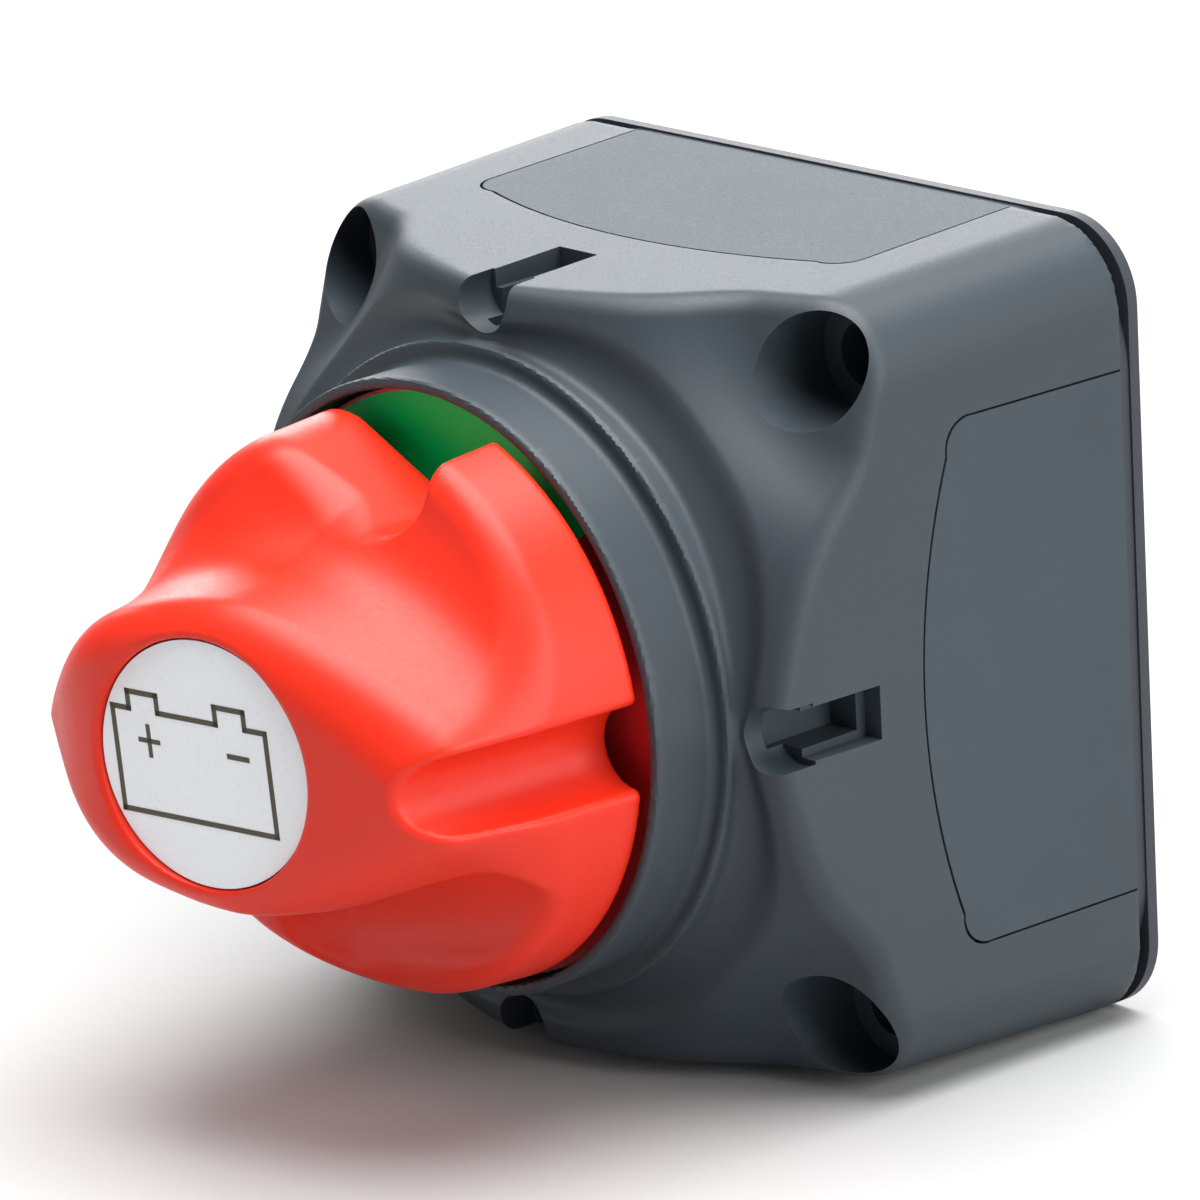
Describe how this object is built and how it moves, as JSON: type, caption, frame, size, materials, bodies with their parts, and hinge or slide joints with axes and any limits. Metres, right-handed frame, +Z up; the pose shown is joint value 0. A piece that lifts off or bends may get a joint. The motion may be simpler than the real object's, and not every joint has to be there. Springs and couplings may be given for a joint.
{
  "type": "battery isolator switch",
  "caption": "Square surface-mount rotary battery isolator with a red turn knob, a status window, blanking side panels and a clip-on rear cover over two threaded studs.",
  "frame": {"origin": "centre of the rear mounting face, on the knob's axis", "axes": "+Y out of the mounting face, away from the knob; +X to the right for somebody facing the knob; +Z up"},
  "size_m": [0.069, 0.076, 0.069],
  "materials": {
    "housing_plastic": "fine moulded grain, slate grey",
    "cover_plastic": "fine moulded grain, slate grey",
    "knob_plastic": "satin orange-red",
    "label_white": "satin white with a plain battery pictogram",
    "indicator_red": "satin red",
    "indicator_green": "satin green",
    "insulator_black": "moulded glass-filled plastic",
    "copper": "bare copper bar",
    "silver_contact": "silver facing",
    "tinned_stud": "tin plated copper",
    "stainless_steel": "stainless steel",
    "spring_steel": "spring steel",
    "spindle_plastic": "natural engineering plastic",
    "seal_rubber": "black rubber"
  },
  "bodies": {
    "housing": {"front_housing": "housing_plastic", "side_panel_right": "housing_plastic", "side_panel_top": "housing_plastic", "side_panel_left": "housing_plastic", "side_panel_bottom": "housing_plastic", "indicator_disc": "indicator_red", "indicator_green_sector": "indicator_green", "terminal_base": "insulator_black", "base_gasket": "seal_rubber", "fixed_contact_left": "copper", "fixed_contact_right": "copper", "contact_pads": "silver_contact", "terminal_stud_left": "tinned_stud", "terminal_stud_right": "tinned_stud", "flat_washers": "stainless_steel", "lock_washers": "spring_steel", "stud_nuts": "stainless_steel", "base_screws": "stainless_steel"},
    "rotor": {"knob": "knob_plastic", "knob_label": "label_white", "knob_clip": "spring_steel", "spindle": "spindle_plastic", "shaft_seal": "seal_rubber", "retaining_ring": "spring_steel", "contact_carrier": "insulator_black", "contact_bridge": "copper", "contact_springs": "spring_steel", "detent_plungers": "stainless_steel", "detent_springs": "spring_steel"},
    "cover": {"rear_cover": "cover_plastic"}
  },
  "joints": [
    {"name": "knob_turn", "type": "hinge", "parent": "housing", "child": "rotor", "pos_m": [0, 0, 0], "axis": [0, 1, 0], "range_deg": [-90, 0]},
    {"name": "cover_slide", "type": "slide", "parent": "housing", "child": "cover", "axis": [0, 1, 0], "range_m": [0, 0.03]}
  ]
}
